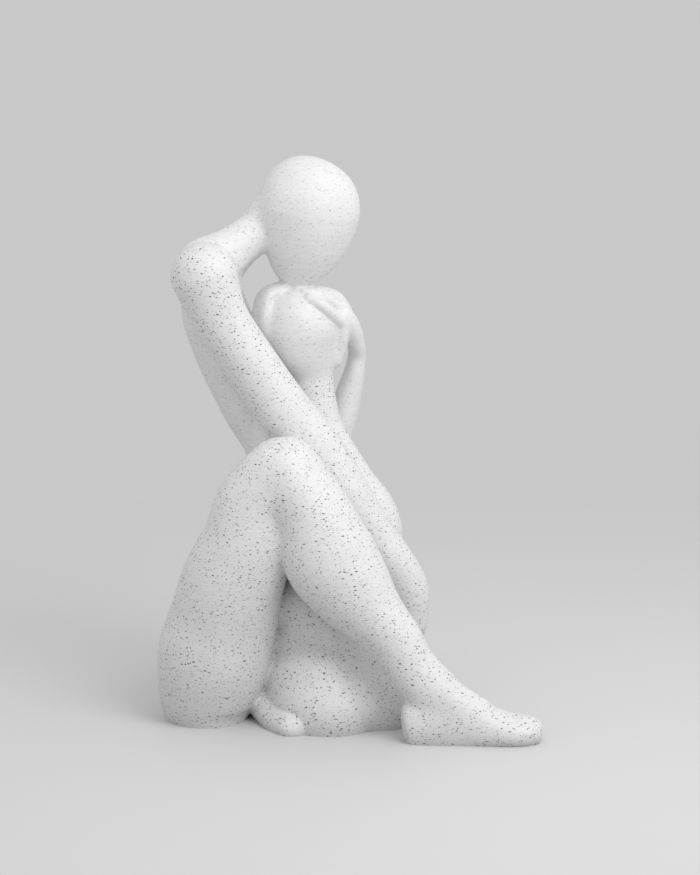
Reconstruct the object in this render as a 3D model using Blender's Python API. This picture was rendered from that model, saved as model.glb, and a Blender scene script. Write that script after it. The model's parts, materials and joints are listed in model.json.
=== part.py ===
"""Person and dog sculpture: a faceless seated person who holds a sitting dog between the legs.

Units are metres. The front view looks along +Y with +X to the right, and Z is up from the ground.
The person faces +X, so the near side (-Y) is the person's right.

Every body form is a loft through a few rings. The forms of one piece are blended into one skin, the skin is
cut flat on the ground, and the piece is then cut back from its neighbours by one clearance, so that each seam
follows the surface it lies on. Round pegs locate the pieces on each other.
"""
import math

import bmesh
import bpy
from mathutils import Matrix, Vector

# Fits
CLEARANCE = 0.0003
PEG_LENGTH = 0.0070

# Person: head and torso
HEAD_LENGTH = 0.0354
HEAD_WIDTH = 0.0276
HEAD_DEPTH = 0.0256
CHIN_HEIGHT = 0.1145
NECK_RADIUS = 0.0060
SHOULDER_WIDTH = 0.0290
SHOULDER_HEIGHT = 0.1195
CHEST_RADIUS = 0.0092
CHEST_DEPTH = 0.0135
WAIST_HEIGHT = 0.0690
WAIST_RADIUS = 0.0075
WAIST_DEPTH = 0.0108
PELVIS_RADIUS = 0.0135
PELVIS_DEPTH = 0.0150

# Person: arms
SHOULDER_RADIUS = 0.0088
UPPER_ARM_RADIUS = 0.0076
ELBOW_RADIUS = 0.0071
FOREARM_RADIUS = 0.0066
WRIST_RADIUS = 0.0053
FAR_FOREARM_RADIUS = 0.0046
FAR_WRIST_RADIUS = 0.0027
FINGER_RADIUS = 0.0014

# Person: legs
BUTTOCK_RADIUS = 0.0150
THIGH_RADIUS = 0.0132
KNEE_RADIUS = 0.0099
CALF_RADIUS = 0.0116
SHIN_RADIUS = 0.0086
ANKLE_RADIUS = 0.0067
FOOT_LENGTH = 0.0362
FOOT_WIDTH = 0.0136
FOOT_HEIGHT = 0.0128
FAR_THIGH_RADIUS = 0.0115
FAR_SHIN_RADIUS = 0.0070

# Dog
DOG_HEADING = math.radians(25)
SKULL_RADIUS = 0.0112
SKULL_HEIGHT = 0.0230
MUZZLE_LENGTH = 0.0145
MUZZLE_RADIUS = 0.0046
EAR_THICKNESS = 0.0030
DOG_NECK_RADIUS = 0.0070
DOG_CHEST_RADIUS = 0.0125
DOG_RUMP_RADIUS = 0.0140
HAUNCH_WIDTH = 0.0285
HAUNCH_LENGTH = 0.0340
HAUNCH_HEIGHT = 0.0235
HIND_PAW_RADIUS = 0.0036
FORELEG_RADIUS = 0.0038
TAIL_RADIUS = 0.0026

# Finish
MARBLE_WHITE = (0.80, 0.81, 0.80, 1.0)
ROUGHNESS = 0.55

# Mesh
SIDES = 20
SUBSTEPS = 3
VOXEL = 0.0007

# Landmarks of the person. Each place is shared by the pieces that meet there.
CHIN = Vector((-0.0135, 0.0010, CHIN_HEIGHT))
CROWN = CHIN + Vector((0.0024, 0, HEAD_LENGTH))
SHOULDERS = Vector((-0.0370, 0.0005, SHOULDER_HEIGHT))
NEAR_SHOULDER = SHOULDERS + Vector((-0.0009, -SHOULDER_WIDTH / 2, 0.0007))
FAR_SHOULDER = SHOULDERS + Vector((-0.0015, SHOULDER_WIDTH / 2, -0.0045))
WAIST = Vector((-0.0205, 0.0010, WAIST_HEIGHT))
SEAT = Vector((-0.0360, 0.0005, 0))
NEAR_ELBOW = Vector((-0.0085, -0.0110, 0.0720))
NEAR_WRIST = Vector((0.0106, -0.0100, 0.0418))
FAR_ELBOW = Vector((-0.0070, 0.0160, 0.0655))
FAR_WRIST = Vector((0.0020, 0.0115, 0.0960))
NEAR_HIP = SEAT + Vector((-0.0032, -0.0145, 0))
NEAR_KNEE = Vector((-0.0170, -0.0240, 0.0685))
NEAR_ANKLE = Vector((0.0200, -0.0355, 0.0130))
FAR_HIP = SEAT + Vector((0.0010, 0.0130, 0.0110))
FAR_KNEE = Vector((-0.0020, 0.0385, 0.0088))
FAR_ANKLE = Vector((-0.0275, -0.0005, 0.0055))
FAR_TOE = Vector((-0.0150, -0.0285, 0.0016))

# Landmarks of the dog. AHEAD is where its body points, and RIGHT is its own right side.
AHEAD = Vector((-math.sin(DOG_HEADING), math.cos(DOG_HEADING), 0))
RIGHT = Vector((AHEAD.y, -AHEAD.x, 0))
UP = Vector((0, 0, 1))
RUMP = Vector((-0.0020, -0.0120, 0))
SKULL = Vector((CHIN.x - 0.0002, 0.0012, CHIN_HEIGHT + 0.0012 - SKULL_HEIGHT / 2))
DOG_NAPE = Vector((SKULL.x + 0.0030, 0.0026, SKULL.z - SKULL_HEIGHT / 2 + 0.0035))
DOG_THROAT = Vector((-0.0090, 0.0034, 0.0745))
WITHERS = Vector((-0.0024, 0.0012, 0.0600))
CHEST = Vector((0.0007, -0.0010, 0.0490))

# Joints of the far hand's fingers and of the ears, from the middle of the skull in skull radii
FAR_FINGERS = (
    ((1.16, 0.25, 0.29), (0.90, 0.29, 0.66), (0.65, 0.21, 0.84), (0.40, 0.12, 0.93)),
    ((1.17, 0.12, 0.29), (0.90, -0.02, 0.65), (0.53, -0.28, 0.84), (0.26, -0.36, 0.92)),
    ((1.13, 0.03, 0.16), (0.85, -0.29, 0.55), (0.51, -0.50, 0.80), (0.15, -0.52, 0.93)),
    ((1.13, -0.04, -0.06), (0.85, -0.51, 0.30), (0.55, -0.70, 0.57), (0.19, -0.68, 0.79)),
)
LEFT_EAR = ((-0.34, -0.04, 0.76), (-0.74, -0.20, 0.60), (-0.76, -0.58, 0.02), (-0.45, -0.82, -0.54))
RIGHT_EAR = ((0.40, -0.18, 0.74), (0.80, -0.24, 0.38), (0.94, -0.30, -0.26), (0.76, -0.34, -0.96))


def mix(a, b, share):
    return a.lerp(b, share)


def ring(place, wide, deep=None):
    """One loft ring: its centre, its half width and its half depth."""
    return Vector(place), wide, wide if deep is None else deep


def spline(rings):
    """Rings along a smooth curve through the given ones."""
    result = []
    for i in range(len(rings) - 1):
        before = rings[max(i - 1, 0)]
        after = rings[min(i + 2, len(rings) - 1)]
        for step in range(SUBSTEPS):
            t = step / SUBSTEPS
            weights = (
                (-t + 2 * t ** 2 - t ** 3) / 2,
                (2 - 5 * t ** 2 + 3 * t ** 3) / 2,
                (t + 4 * t ** 2 - 3 * t ** 3) / 2,
                (-t ** 2 + t ** 3) / 2,
            )
            four = (before, rings[i], rings[i + 1], after)
            place = sum((r[0] * w for r, w in zip(four, weights)), Vector())
            wide = sum(r[1] * w for r, w in zip(four, weights))
            deep = sum(r[2] * w for r, w in zip(four, weights))
            result.append((place, wide, deep))
    result.append(rings[-1])
    return result


def add_loft(bm, rings, side=(0, 1, 0), start=1.0, end=1.0):
    """A closed loft with domed ends. The half depth of each ring lies towards side."""
    side = Vector(side)
    path = spline(rings)
    frames = []
    for i, (place, wide, deep) in enumerate(path):
        along = path[min(i + 1, len(path) - 1)][0] - path[max(i - 1, 0)][0]
        frames.append((place, along.normalized(), wide, deep))
    domed = [*dome(frames[0], -start), *frames, *dome(frames[-1], end)]
    loops = []
    for place, along, wide, deep in domed:
        deep_axis = (side - along * side.dot(along)).normalized()
        wide_axis = deep_axis.cross(along)
        matrix = Matrix((wide_axis * wide, deep_axis * deep, along * wide)).transposed().to_4x4()
        matrix.translation = place
        verts = bmesh.ops.create_circle(bm, segments=SIDES, radius=1, matrix=matrix)["verts"]
        loops.append((verts, list({edge for vert in verts for edge in vert.link_edges})))
    for (_, one), (_, other) in zip(loops, loops[1:]):
        bmesh.ops.bridge_loops(bm, edges=one + other)
    for verts, _ in (loops[0], loops[-1]):
        bm.faces.new(verts)


def dome(frame, roundness):
    """Rings that close the end of a loft. A negative roundness makes the dome at its start."""
    place, along, wide, deep = frame
    reach = min(wide, deep) * roundness
    angles = [math.radians(degrees) for degrees in (25, 50, 70, 84)]
    caps = []
    for angle in angles:
        shrink = math.cos(angle)
        caps.append((place + along * reach * math.sin(angle), along, wide * shrink, deep * shrink))
    return caps if roundness > 0 else caps[::-1]


def add_ball(bm, place, across, ahead, up):
    """An ellipsoid turned to the dog's heading."""
    turn = Matrix((RIGHT * across, AHEAD * ahead, UP * up)).transposed().to_4x4()
    turn.translation = place
    bmesh.ops.create_uvsphere(bm, u_segments=SIDES, v_segments=SIDES // 2 + 2, radius=1, matrix=turn)


def baked(obj):
    """The object with its modifiers applied."""
    graph = bpy.context.evaluated_depsgraph_get()
    mesh = bpy.data.meshes.new_from_object(obj.evaluated_get(graph), depsgraph=graph)
    obj.modifiers.clear()
    old = obj.data
    obj.data = mesh
    mesh.name = obj.name
    bpy.data.meshes.remove(old)
    return obj


def from_bmesh(name, bm):
    bmesh.ops.recalc_face_normals(bm, faces=bm.faces)
    mesh = bpy.data.meshes.new(name)
    bm.to_mesh(mesh)
    bm.free()
    obj = bpy.data.objects.new(name, mesh)
    bpy.context.scene.collection.objects.link(obj)
    return obj


def blended(name, draw, triangles, soften=6, voxel=VOXEL):
    """One skin over all the forms that draw adds, with about so many triangles."""
    bm = bmesh.new()
    draw(bm)
    obj = from_bmesh(name, bm)
    skin = obj.modifiers.new("skin", "REMESH")
    skin.mode = "VOXEL"
    skin.voxel_size = voxel
    skin.adaptivity = 0
    soft = obj.modifiers.new("soften", "SMOOTH")
    soft.factor = 0.5
    soft.iterations = soften
    baked(obj)
    faces = sum(len(face.vertices) - 2 for face in obj.data.polygons)
    fewer = obj.modifiers.new("fewer", "DECIMATE")
    fewer.ratio = min(1, triangles / faces)
    fewer.use_collapse_triangulate = True
    return baked(obj)


def ground():
    bm = bmesh.new()
    size = 4 * CHIN_HEIGHT
    bmesh.ops.create_cube(bm, size=size, matrix=Matrix.Translation((0, 0, -size / 2)))
    return from_bmesh("ground", bm)


def cut(obj, cutter, operation="DIFFERENCE"):
    """Apply a Boolean with a cutter that is used once, and keep the largest body."""
    cutter.hide_render = True
    cutter.display_type = "WIRE"
    tool = obj.modifiers.new("cut", "BOOLEAN")
    tool.operation = operation
    tool.solver = "EXACT"
    tool.use_self = True
    tool.object = cutter
    baked(obj)
    mesh = cutter.data
    bpy.data.objects.remove(cutter)
    bpy.data.meshes.remove(mesh)
    keep_main_body(obj)


def keep_main_body(obj):
    """Drop the slivers that a cut can leave beside a piece."""
    bm = bmesh.new()
    bm.from_mesh(obj.data)
    left = set(bm.verts)
    bodies = []
    while left:
        stack = [left.pop()]
        body = set(stack)
        while stack:
            for edge in stack.pop().link_edges:
                for vert in edge.verts:
                    if vert in left:
                        left.discard(vert)
                        body.add(vert)
                        stack.append(vert)
        bodies.append(body)
    bodies.sort(key=len)
    spare = [vert for body in bodies[:-1] for vert in body]
    if spare:
        bmesh.ops.delete(bm, geom=spare, context="VERTS")
        bm.to_mesh(obj.data)
    bm.free()


def grown(skin):
    """A copy of a skin that stands proud of it by the clearance all round."""
    bm = bmesh.new()
    bm.from_mesh(skin)
    bm.normal_update()
    places = [vert.co + vert.normal * CLEARANCE * min(vert.calc_shell_factor(), 2) for vert in bm.verts]
    for vert, place in zip(bm.verts, places):
        vert.co = place
    return from_bmesh("grown", bm)


def fit(obj, skins, *neighbours):
    """Cut a piece flat on the ground and back from the skins of the neighbours that it lies against."""
    cut(obj, ground())
    for neighbour in neighbours:
        cut(obj, grown(skins[neighbour]))


def peg(holder, receiver, place, direction, radius):
    """A round peg on the holder, seated with clearance in a blind hole of the receiver."""
    turn = Vector(direction).to_track_quat("Z", "Y").to_matrix().to_4x4()
    turn.translation = place
    for obj, growth, operation in ((receiver, CLEARANCE, "DIFFERENCE"), (holder, 0, "UNION")):
        bm = bmesh.new()
        bmesh.ops.create_cone(
            bm,
            cap_ends=True,
            segments=16,
            radius1=radius + growth,
            radius2=radius + growth,
            depth=PEG_LENGTH + 2 * growth,
            matrix=turn,
        )
        cut(obj, from_bmesh("peg", bm), operation)


def draw_head(bm):
    """An egg: narrow at the chin and widest above the middle."""
    shares = ((0.03, 0.28), (0.11, 0.50), (0.22, 0.69), (0.34, 0.84), (0.46, 0.95), (0.56, 1.0), (0.67, 0.985),
              (0.80, 0.84), (0.88, 0.67), (0.935, 0.48))
    bow = Vector((0.0008, 0, 0))
    rings = []
    for height, width in shares:
        place = mix(CHIN, CROWN, height) + bow * math.sin(math.pi * height)
        rings.append(ring(place, width * HEAD_WIDTH / 2, width * HEAD_DEPTH / 2))
    add_loft(bm, rings, start=0.8, end=0.36)


def draw_torso(bm):
    neck_end = mix(CHIN, CROWN, 0.62) + Vector((-0.0058, 0, 0))
    add_loft(bm, [
        ring(neck_end, NECK_RADIUS * 1.25, NECK_RADIUS * 1.15),
        ring(mix(SHOULDERS, neck_end, 0.66) + Vector((0, 0, -0.0004)), NECK_RADIUS * 1.02, NECK_RADIUS),
        ring(mix(SHOULDERS, neck_end, 0.33) + Vector((0, 0, 0.0001)), NECK_RADIUS * 1.04, NECK_RADIUS * 1.35),
        ring(SHOULDERS + Vector((0.0002, 0, 0)), CHEST_RADIUS * 0.90, CHEST_DEPTH),
    ])
    add_loft(bm, [
        ring(mix(SHOULDERS, WAIST, 0.02), CHEST_RADIUS * 0.85, CHEST_DEPTH),
        ring(mix(SHOULDERS, WAIST, 0.22) + Vector((-0.0032, 0, 0)), CHEST_RADIUS * 0.94, CHEST_DEPTH),
        ring(mix(SHOULDERS, WAIST, 0.45) + Vector((-0.0030, 0, 0)), CHEST_RADIUS * 0.97, CHEST_DEPTH * 0.97),
        ring(mix(SHOULDERS, WAIST, 0.72) + Vector((-0.0016, 0, 0)), CHEST_RADIUS * 0.90, CHEST_DEPTH * 0.9),
        ring(WAIST, WAIST_RADIUS, WAIST_DEPTH),
        ring(mix(WAIST, SEAT, 0.25) + Vector((0.0020, 0, 0)), PELVIS_RADIUS * 0.74, PELVIS_DEPTH * 0.80),
        ring(mix(WAIST, SEAT, 0.50) + Vector((0.0016, 0, 0)), PELVIS_RADIUS * 0.92, PELVIS_DEPTH * 0.92),
        ring(mix(WAIST, SEAT, 0.80), PELVIS_RADIUS, PELVIS_DEPTH),
        ring(SEAT, PELVIS_RADIUS * 0.92, PELVIS_DEPTH * 0.95),
    ], end=0.4)


def draw_right_arm(bm):
    add_loft(bm, [
        ring(NEAR_SHOULDER + Vector((0, 0, -0.0003)), SHOULDER_RADIUS),
        ring(mix(NEAR_SHOULDER, NEAR_ELBOW, 0.26) + Vector((-0.0022, 0, -0.0003)), UPPER_ARM_RADIUS * 0.99),
        ring(mix(NEAR_SHOULDER, NEAR_ELBOW, 0.50) + Vector((-0.0026, 0, -0.0002)), UPPER_ARM_RADIUS * 0.98),
        ring(mix(NEAR_SHOULDER, NEAR_ELBOW, 0.74) + Vector((-0.0020, 0, -0.0004)), UPPER_ARM_RADIUS * 0.96),
        ring(NEAR_ELBOW, ELBOW_RADIUS),
        ring(mix(NEAR_ELBOW, NEAR_WRIST, 0.46), FOREARM_RADIUS),
        ring(mix(NEAR_ELBOW, NEAR_WRIST, 0.78), FOREARM_RADIUS * 0.92),
        ring(NEAR_WRIST, WRIST_RADIUS),
        ring(NEAR_WRIST + Vector((0.0040, 0.0010, -0.0080)), WRIST_RADIUS, WRIST_RADIUS * 1.05),
        ring(NEAR_WRIST + Vector((0.0058, 0.0022, -0.0160)), WRIST_RADIUS * 0.92),
    ])
    knuckles = NEAR_WRIST + Vector((0.0062, 0.0040, -0.0064))
    for finger in range(4):
        root = knuckles + Vector((0.0006 * finger * (4 - finger), 0, -0.0043 * finger))
        bend = root + Vector((0.0002, 0.0060, -0.0010))
        tip = bend + Vector((-0.0034, 0.0054, -0.0016))
        add_loft(bm, [
            ring(mix(NEAR_WRIST + Vector((0.0045, 0.0010, -0.0100)), root, 0.5), FINGER_RADIUS * 1.9),
            ring(root, FINGER_RADIUS * 1.75),
            ring(bend, FINGER_RADIUS * 1.6),
            ring(tip, FINGER_RADIUS * 1.3),
        ], side=(0, 0, 1))


def draw_left_arm(bm):
    bow = Vector((0.0013, 0, 0))
    add_loft(bm, [
        ring(FAR_SHOULDER, SHOULDER_RADIUS * 0.88),
        ring(mix(FAR_SHOULDER, FAR_ELBOW, 0.40) + Vector((-0.0030, 0.0010, -0.0010)), UPPER_ARM_RADIUS * 0.90),
        ring(mix(FAR_SHOULDER, FAR_ELBOW, 0.75), UPPER_ARM_RADIUS * 0.88),
        ring(FAR_ELBOW, ELBOW_RADIUS * 0.92),
    ])
    add_loft(bm, [
        ring(FAR_ELBOW, ELBOW_RADIUS * 0.80),
        ring(mix(FAR_ELBOW, FAR_WRIST, 0.33) + bow * 0.3, FAR_FOREARM_RADIUS, FAR_FOREARM_RADIUS * 1.15),
        ring(mix(FAR_ELBOW, FAR_WRIST, 0.62) + bow * 0.8, FAR_FOREARM_RADIUS * 0.82, FAR_FOREARM_RADIUS),
        ring(mix(FAR_ELBOW, FAR_WRIST, 0.82) + bow, FAR_WRIST_RADIUS, FAR_WRIST_RADIUS * 1.5),
        ring(FAR_WRIST, FAR_WRIST_RADIUS * 0.95, FAR_WRIST_RADIUS * 1.5),
        ring(FAR_WRIST + Vector((-0.0006, -0.0040, 0.0048)), FAR_WRIST_RADIUS * 0.95, FAR_WRIST_RADIUS * 1.45),
        ring(FAR_WRIST + Vector((-0.0026, -0.0078, 0.0088)), FAR_WRIST_RADIUS * 0.9, FAR_WRIST_RADIUS * 1.3),
    ])
    palm = FAR_WRIST + Vector((-0.0018, -0.0060, 0.0066))
    for places in FAR_FINGERS:
        joints = [SKULL + Vector(place) * SKULL_RADIUS for place in places]
        add_loft(bm, [
            ring(mix(palm, joints[0], 0.4), FINGER_RADIUS * 1.05),
            ring(joints[0], FINGER_RADIUS * 1.1),
            ring(joints[1], FINGER_RADIUS * 1.05),
            ring(joints[2], FINGER_RADIUS),
            ring(joints[3], FINGER_RADIUS * 0.85),
        ])


def draw_right_leg(bm):
    back = Vector((-0.0028, 0.0005, 0))
    add_loft(bm, [
        ring(NEAR_HIP + Vector((0.0002, 0, -0.0020)), BUTTOCK_RADIUS * 0.72, BUTTOCK_RADIUS * 0.78),
        ring(NEAR_HIP + Vector((0.0004, 0, 0.0055)), BUTTOCK_RADIUS * 0.92, BUTTOCK_RADIUS * 0.90),
        ring(mix(NEAR_HIP, NEAR_KNEE, 0.25) + back * 0.9, BUTTOCK_RADIUS * 1.01, BUTTOCK_RADIUS * 0.94),
        ring(mix(NEAR_HIP, NEAR_KNEE, 0.40) + back, BUTTOCK_RADIUS * 0.98, BUTTOCK_RADIUS * 0.90),
        ring(mix(NEAR_HIP, NEAR_KNEE, 0.56) + back * 1.5, THIGH_RADIUS * 1.02, THIGH_RADIUS * 0.94),
        ring(mix(NEAR_HIP, NEAR_KNEE, 0.72) + back * 1.8, THIGH_RADIUS * 0.88, THIGH_RADIUS * 0.86),
        ring(mix(NEAR_HIP, NEAR_KNEE, 0.88) + back * 1.6, KNEE_RADIUS * 1.02, KNEE_RADIUS),
        ring(NEAR_KNEE + back * 0.3, KNEE_RADIUS * 0.99),
    ], start=0.3)
    add_loft(bm, [
        ring(NEAR_KNEE, KNEE_RADIUS),
        ring(mix(NEAR_KNEE, NEAR_ANKLE, 0.19), CALF_RADIUS * 0.92, CALF_RADIUS * 0.90),
        ring(mix(NEAR_KNEE, NEAR_ANKLE, 0.36) + Vector((-0.0016, 0, 0)), CALF_RADIUS, CALF_RADIUS * 0.92),
        ring(mix(NEAR_KNEE, NEAR_ANKLE, 0.54) + Vector((-0.0016, 0, 0)), CALF_RADIUS * 0.90, CALF_RADIUS * 0.84),
        ring(mix(NEAR_KNEE, NEAR_ANKLE, 0.66) + Vector((-0.0009, 0, 0)), SHIN_RADIUS * 0.98, SHIN_RADIUS * 0.95),
        ring(mix(NEAR_KNEE, NEAR_ANKLE, 0.77) + Vector((0.0003, 0, 0.0001)), SHIN_RADIUS * 0.84, SHIN_RADIUS * 0.84),
        ring(mix(NEAR_KNEE, NEAR_ANKLE, 0.90), ANKLE_RADIUS, ANKLE_RADIUS * 0.95),
        ring(NEAR_ANKLE + Vector((0.0012, 0, 0)), ANKLE_RADIUS * 1.10, ANKLE_RADIUS * 0.90),
    ])
    heel = Vector((NEAR_ANKLE.x - 0.0052, NEAR_ANKLE.y - 0.0009, 0))
    foot = []
    for share, height, width in ((0.06, 0.66, 0.62), (0.16, 1.02, 0.80), (0.33, 1.16, 0.86), (0.46, 0.99, 0.90),
                                 (0.60, 0.73, 0.94), (0.75, 0.57, 1.0), (0.87, 0.50, 0.90), (0.94, 0.40, 0.68)):
        top = height * FOOT_HEIGHT
        foot.append(ring(heel + Vector((share * FOOT_LENGTH, 0, top * 0.36)), top * 0.64, width * FOOT_WIDTH / 2))
    add_loft(bm, foot, start=0.5, end=0.55)
    add_loft(bm, [
        ring(mix(NEAR_KNEE, NEAR_ANKLE, 0.84), ANKLE_RADIUS * 0.95, ANKLE_RADIUS * 0.90),
        ring(NEAR_ANKLE + Vector((0.0026, 0, -0.0004)), ANKLE_RADIUS * 0.94, ANKLE_RADIUS * 0.92),
        ring(foot[3][0] + Vector((0, 0, 0.0010)), FOOT_HEIGHT * 0.49, FOOT_WIDTH * 0.42),
        ring(foot[4][0], FOOT_HEIGHT * 0.40, FOOT_WIDTH * 0.40),
    ])


def draw_left_leg(bm):
    instep = Vector((-0.0005, 0, 0.0005))
    add_loft(bm, [
        ring(FAR_HIP, FAR_THIGH_RADIUS * 1.12, FAR_THIGH_RADIUS),
        ring(mix(FAR_HIP, FAR_KNEE, 0.5) + Vector((0.0015, 0.0015, 0)), FAR_THIGH_RADIUS, FAR_THIGH_RADIUS * 0.97),
        ring(FAR_KNEE, FAR_THIGH_RADIUS * 0.78),
    ], side=UP)
    add_loft(bm, [
        ring(FAR_KNEE, FAR_THIGH_RADIUS * 0.74),
        ring(mix(FAR_KNEE, FAR_ANKLE, 0.35), FAR_SHIN_RADIUS * 1.06),
        ring(mix(FAR_KNEE, FAR_ANKLE, 0.75), FAR_SHIN_RADIUS * 0.84),
        ring(FAR_ANKLE, FAR_SHIN_RADIUS * 0.76),
        ring(mix(FAR_ANKLE, FAR_TOE, 0.40) + instep, FAR_SHIN_RADIUS * 0.70, FAR_SHIN_RADIUS * 0.74),
        ring(mix(FAR_ANKLE, FAR_TOE, 0.74) + instep * 1.5, FAR_SHIN_RADIUS * 0.70, FAR_SHIN_RADIUS * 0.56),
        ring(FAR_TOE, FAR_SHIN_RADIUS * 0.46, FAR_SHIN_RADIUS * 0.34),
    ], side=UP)


def draw_dog_body(bm):
    add_loft(bm, [
        ring(DOG_NAPE + Vector((-0.0010, 0, 0.0030)), DOG_NECK_RADIUS * 0.9),
        ring(DOG_NAPE + Vector((0, 0, -0.0060)), DOG_NECK_RADIUS * 0.97),
        ring(DOG_THROAT, DOG_NECK_RADIUS * 1.12),
        ring(WITHERS, DOG_CHEST_RADIUS * 0.84, DOG_CHEST_RADIUS * 0.90),
        ring(CHEST, DOG_CHEST_RADIUS, DOG_CHEST_RADIUS * 1.04),
        ring(mix(CHEST, RUMP, 0.25) - RIGHT * 0.0018, DOG_RUMP_RADIUS * 1.04, DOG_RUMP_RADIUS * 0.98),
        ring(mix(CHEST, RUMP, 0.55) - RIGHT * 0.0024, DOG_RUMP_RADIUS * 1.12, DOG_RUMP_RADIUS),
        ring(mix(CHEST, RUMP, 0.85), DOG_RUMP_RADIUS * 0.98, DOG_RUMP_RADIUS * 1.15),
        ring(RUMP, DOG_RUMP_RADIUS * 0.9, DOG_RUMP_RADIUS * 1.12),
    ], side=AHEAD, end=0.4)


def draw_dog_head(bm):
    add_ball(bm, SKULL, SKULL_RADIUS, SKULL_RADIUS, SKULL_HEIGHT / 2)
    brow = SKULL + AHEAD * 0.0045 - RIGHT * 0.0022 + UP * 0.0030
    muzzle = SKULL + AHEAD * (SKULL_RADIUS * 0.5) - UP * 0.0005
    add_loft(bm, [
        ring(brow, SKULL_RADIUS * 0.72, SKULL_RADIUS * 0.66),
        ring(muzzle + AHEAD * MUZZLE_LENGTH * 0.45, MUZZLE_RADIUS * 1.2, MUZZLE_RADIUS * 1.1),
        ring(muzzle + AHEAD * MUZZLE_LENGTH, MUZZLE_RADIUS, MUZZLE_RADIUS * 0.9),
    ], side=UP)
    add_loft(bm, [
        ring(SKULL - UP * SKULL_HEIGHT * 0.15, SKULL_RADIUS * 0.8),
        ring(DOG_NAPE + UP * 0.001, DOG_NECK_RADIUS * 0.92),
    ], end=0.6)


def draw_ear(bm, places):
    """A floppy ear that hangs down the side of the skull."""
    joints = [SKULL + Vector(place) * SKULL_RADIUS for place in places]
    outward = (joints[2] - SKULL).to_2d().to_3d()
    widths = (0.0042, 0.0054, 0.0056, 0.0034)
    thicknesses = (0.65, 0.65, 0.60, 0.50)
    rings = [ring(joint, wide, EAR_THICKNESS * deep) for joint, wide, deep in zip(joints, widths, thicknesses)]
    add_loft(bm, rings, side=outward)


def draw_hind_leg(bm, outward):
    haunch = RUMP + RIGHT * outward * HAUNCH_WIDTH * 0.25 + UP * 0.0085
    add_ball(bm, haunch, HAUNCH_WIDTH / 2, HAUNCH_LENGTH / 2, HAUNCH_HEIGHT - haunch.z)
    add_ball(bm, haunch - UP * 0.002, HAUNCH_WIDTH / 2 - 0.0002, HAUNCH_LENGTH / 2 - 0.0004, haunch.z * 1.8)
    paw = RUMP + RIGHT * outward * HAUNCH_WIDTH * 0.34 + UP * HIND_PAW_RADIUS * 0.75
    add_loft(bm, [
        ring(paw + AHEAD * HAUNCH_LENGTH * 0.1, HIND_PAW_RADIUS),
        ring(paw + AHEAD * HAUNCH_LENGTH * 0.55, HIND_PAW_RADIUS, HIND_PAW_RADIUS * 0.9),
        ring(paw + AHEAD * HAUNCH_LENGTH * 0.66, HIND_PAW_RADIUS * 1.1, HIND_PAW_RADIUS * 0.85),
    ], side=UP)


def draw_foreleg(bm, outward):
    shoulder = CHEST + AHEAD * 0.0062 + RIGHT * outward * 0.0062 + UP * 0.0030
    elbow = CHEST + AHEAD * 0.0080 + RIGHT * outward * 0.0062 - UP * 0.0160
    wrist = elbow + AHEAD * 0.0012 + Vector((0, 0, 0.009 - elbow.z))
    paw = wrist + AHEAD * 0.0015 - UP * (0.009 - FORELEG_RADIUS * 0.7)
    add_loft(bm, [
        ring(shoulder, FORELEG_RADIUS * 1.7, FORELEG_RADIUS * 1.9),
        ring(mix(shoulder, elbow, 0.5), FORELEG_RADIUS * 1.55, FORELEG_RADIUS * 1.7),
        ring(elbow, FORELEG_RADIUS * 1.15, FORELEG_RADIUS * 1.2),
        ring(wrist, FORELEG_RADIUS * 0.9),
    ], side=AHEAD)
    add_loft(bm, [
        ring(wrist, FORELEG_RADIUS * 0.88),
        ring(paw, FORELEG_RADIUS, FORELEG_RADIUS * 0.9),
        ring(paw + AHEAD * FORELEG_RADIUS * 1.1, FORELEG_RADIUS * 1.05, FORELEG_RADIUS * 0.8),
    ], side=RIGHT)


def draw_tail(bm):
    """A tail that lies on the ground round the back of the right haunch."""
    rings = []
    haunch = RUMP + RIGHT * HAUNCH_WIDTH * 0.25
    for step, turn in enumerate((-62, -35, -8, 16)):
        angle = math.radians(turn)
        across = (HAUNCH_WIDTH / 2 + TAIL_RADIUS * 0.7) * math.cos(angle)
        along = (HAUNCH_LENGTH / 2 + TAIL_RADIUS * 0.7) * math.sin(angle)
        radius = TAIL_RADIUS * (1.1 - 0.12 * step)
        rings.append(ring(haunch + RIGHT * across + AHEAD * along + UP * radius * 0.8, radius))
    add_loft(bm, rings, side=UP)


def finish(obj):
    material = bpy.data.materials.new(obj.name)
    material.use_nodes = True
    shader = material.node_tree.nodes["Principled BSDF"]
    shader.inputs["Base Color"].default_value = MARBLE_WHITE
    shader.inputs["Roughness"].default_value = ROUGHNESS
    shader.inputs["Metallic"].default_value = 0
    obj.data.materials.clear()
    obj.data.materials.append(material)
    obj.data.shade_smooth()
    obj.data.set_sharp_from_angle(angle=math.radians(40))


def centre(pieces):
    """Bring the middle of the footprint's box to the origin and the lowest face to the ground."""
    pieces = list(pieces)
    corners = [vert.co for piece in pieces for vert in piece.data.vertices]
    low = Vector([min(corner[axis] for corner in corners) for axis in range(3)])
    high = Vector([max(corner[axis] for corner in corners) for axis in range(3)])
    move = Matrix.Translation((-(low.x + high.x) / 2, -(low.y + high.y) / 2, -low.z))
    for piece in pieces:
        piece.data.transform(move)


def clear_scene():
    for obj in list(bpy.data.objects):
        bpy.data.objects.remove(obj)


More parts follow.
